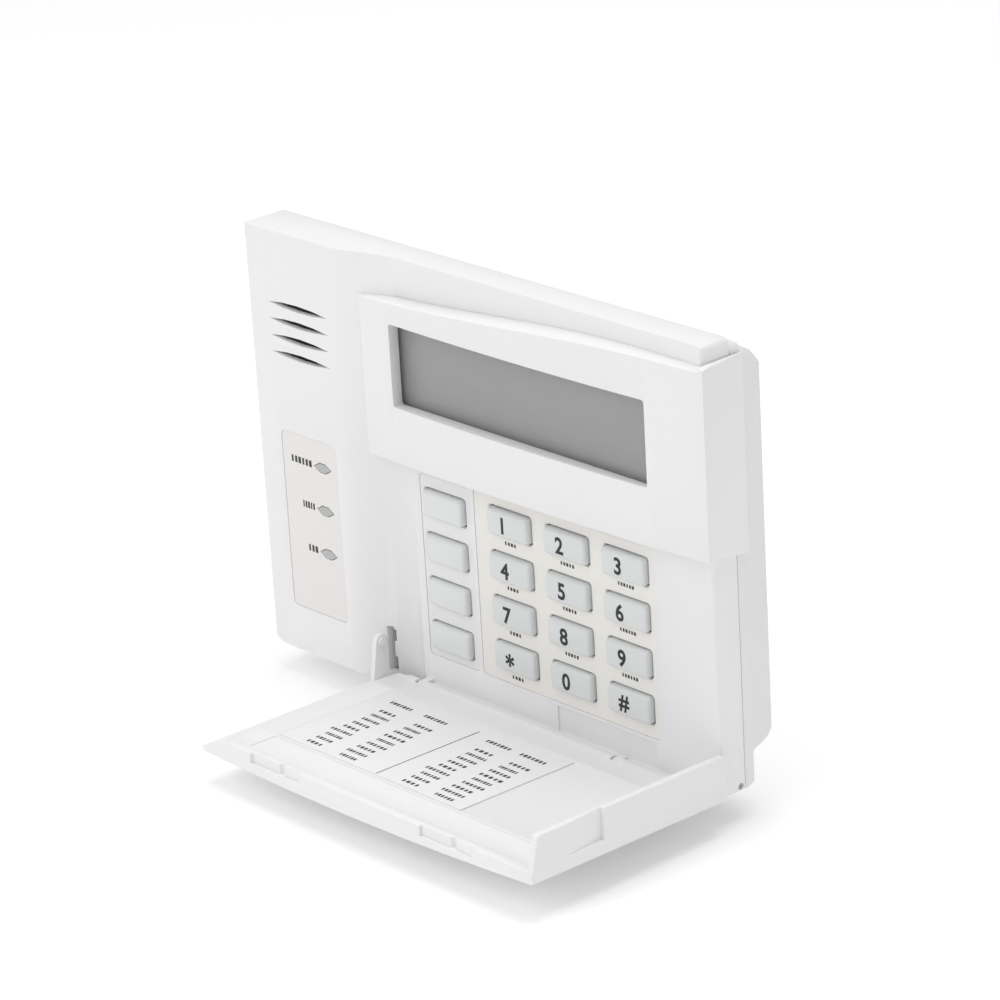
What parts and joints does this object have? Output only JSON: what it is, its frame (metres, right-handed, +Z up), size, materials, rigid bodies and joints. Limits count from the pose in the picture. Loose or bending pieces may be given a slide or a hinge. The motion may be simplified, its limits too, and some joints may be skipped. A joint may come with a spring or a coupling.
{
  "type": "alarm keypad panel",
  "caption": "Wall-mounted alarm keypad panel with a raised display hood, status panel, sprung keys and a fold-down door.",
  "frame": {"origin": "centre of the flat wall face of the back case", "axes": "+X to the right seen from the front, +Y into the wall, +Z up"},
  "size_m": [0.192, 0.097, 0.1365],
  "materials": {
    "case_white": "fine satin moulded ABS, cool white",
    "case_back": "fine satin moulded ABS, slightly darker white",
    "clear_lens": "clear polished acrylic",
    "lcd_glass": "grey display glass behind the lens",
    "black_plastic": "black moulded plastic",
    "light_guide": "milky light guide",
    "board_green": "green solder mask on glass epoxy board",
    "keypad_rubber": "grey silicone rubber mat",
    "cream_sheet": "printed cream plastic sheet",
    "white_sheet": "printed white plastic sheet",
    "warm_sheet": "printed warm grey plastic sheet",
    "terminal_green": "green moulded terminal block",
    "steel": "bright zinc plated steel",
    "number_key": "pale translucent grey key",
    "function_key": "pale translucent grey key",
    "led_clear": "water clear light emitting diode",
    "card_white": "printed white card"
  },
  "bodies": {
    "panel": {"back_case": "case_back", "front_case": "case_white", "display_bezel": "case_white", "display_lens": "clear_lens", "lcd_glass": "lcd_glass", "lcd_frame": "black_plastic", "lcd_backlight": "light_guide", "circuit_board": "board_green", "keypad_mat": "keypad_rubber", "keypad_overlay": "cream_sheet", "function_overlay": "white_sheet", "status_label": "warm_sheet", "sounder": "black_plastic", "terminal_block": "terminal_green", "controller_chip": "black_plastic", "hinge_pin_left": "steel", "hinge_pin_right": "steel", "status_lens_1": "clear_lens", "status_led_1": "led_clear", "status_lens_2": "clear_lens", "status_led_2": "led_clear", "status_lens_3": "clear_lens", "status_led_3": "led_clear", "terminal_screw_1": "steel", "board_screw_1": "steel", "terminal_screw_2": "steel", "board_screw_2": "steel", "terminal_screw_3": "steel", "board_screw_3": "steel", "terminal_screw_4": "steel", "board_screw_4": "steel"},
    "door": {"door": "case_white", "door_card": "card_white"},
    "key_1_body": {"key_1": "number_key"},
    "key_2_body": {"key_2": "number_key"},
    "key_3_body": {"key_3": "number_key"},
    "key_4_body": {"key_4": "number_key"},
    "key_5_body": {"key_5": "number_key"},
    "key_6_body": {"key_6": "number_key"},
    "key_7_body": {"key_7": "number_key"},
    "key_8_body": {"key_8": "number_key"},
    "key_9_body": {"key_9": "number_key"},
    "key_star_body": {"key_star": "number_key"},
    "key_0_body": {"key_0": "number_key"},
    "key_hash_body": {"key_hash": "number_key"},
    "function_key_1_body": {"function_key_1": "function_key"},
    "function_key_2_body": {"function_key_2": "function_key"},
    "function_key_3_body": {"function_key_3": "function_key"},
    "function_key_4_body": {"function_key_4": "function_key"}
  },
  "joints": [
    {"name": "door_hinge", "type": "hinge", "parent": "panel", "child": "door", "pos_m": [0, -0.02525, -0.06575], "axis": [-1, 0, 0], "range_deg": [0, 88.6]},
    {"name": "key_1_press", "type": "slide", "parent": "panel", "child": "key_1_body", "axis": [0, 1, 0], "range_m": [0, 0.0012], "stiffness_N_per_m": 400},
    {"name": "key_2_press", "type": "slide", "parent": "panel", "child": "key_2_body", "axis": [0, 1, 0], "range_m": [0, 0.0012], "stiffness_N_per_m": 400},
    {"name": "key_3_press", "type": "slide", "parent": "panel", "child": "key_3_body", "axis": [0, 1, 0], "range_m": [0, 0.0012], "stiffness_N_per_m": 400},
    {"name": "key_4_press", "type": "slide", "parent": "panel", "child": "key_4_body", "axis": [0, 1, 0], "range_m": [0, 0.0012], "stiffness_N_per_m": 400},
    {"name": "key_5_press", "type": "slide", "parent": "panel", "child": "key_5_body", "axis": [0, 1, 0], "range_m": [0, 0.0012], "stiffness_N_per_m": 400},
    {"name": "key_6_press", "type": "slide", "parent": "panel", "child": "key_6_body", "axis": [0, 1, 0], "range_m": [0, 0.0012], "stiffness_N_per_m": 400},
    {"name": "key_7_press", "type": "slide", "parent": "panel", "child": "key_7_body", "axis": [0, 1, 0], "range_m": [0, 0.0012], "stiffness_N_per_m": 400},
    {"name": "key_8_press", "type": "slide", "parent": "panel", "child": "key_8_body", "axis": [0, 1, 0], "range_m": [0, 0.0012], "stiffness_N_per_m": 400},
    {"name": "key_9_press", "type": "slide", "parent": "panel", "child": "key_9_body", "axis": [0, 1, 0], "range_m": [0, 0.0012], "stiffness_N_per_m": 400},
    {"name": "key_star_press", "type": "slide", "parent": "panel", "child": "key_star_body", "axis": [0, 1, 0], "range_m": [0, 0.0012], "stiffness_N_per_m": 400},
    {"name": "key_0_press", "type": "slide", "parent": "panel", "child": "key_0_body", "axis": [0, 1, 0], "range_m": [0, 0.0012], "stiffness_N_per_m": 400},
    {"name": "key_hash_press", "type": "slide", "parent": "panel", "child": "key_hash_body", "axis": [0, 1, 0], "range_m": [0, 0.0012], "stiffness_N_per_m": 400},
    {"name": "function_key_1_press", "type": "slide", "parent": "panel", "child": "function_key_1_body", "axis": [0, 1, 0], "range_m": [0, 0.0012], "stiffness_N_per_m": 400},
    {"name": "function_key_2_press", "type": "slide", "parent": "panel", "child": "function_key_2_body", "axis": [0, 1, 0], "range_m": [0, 0.0012], "stiffness_N_per_m": 400},
    {"name": "function_key_3_press", "type": "slide", "parent": "panel", "child": "function_key_3_body", "axis": [0, 1, 0], "range_m": [0, 0.0012], "stiffness_N_per_m": 400},
    {"name": "function_key_4_press", "type": "slide", "parent": "panel", "child": "function_key_4_body", "axis": [0, 1, 0], "range_m": [0, 0.0012], "stiffness_N_per_m": 400}
  ]
}
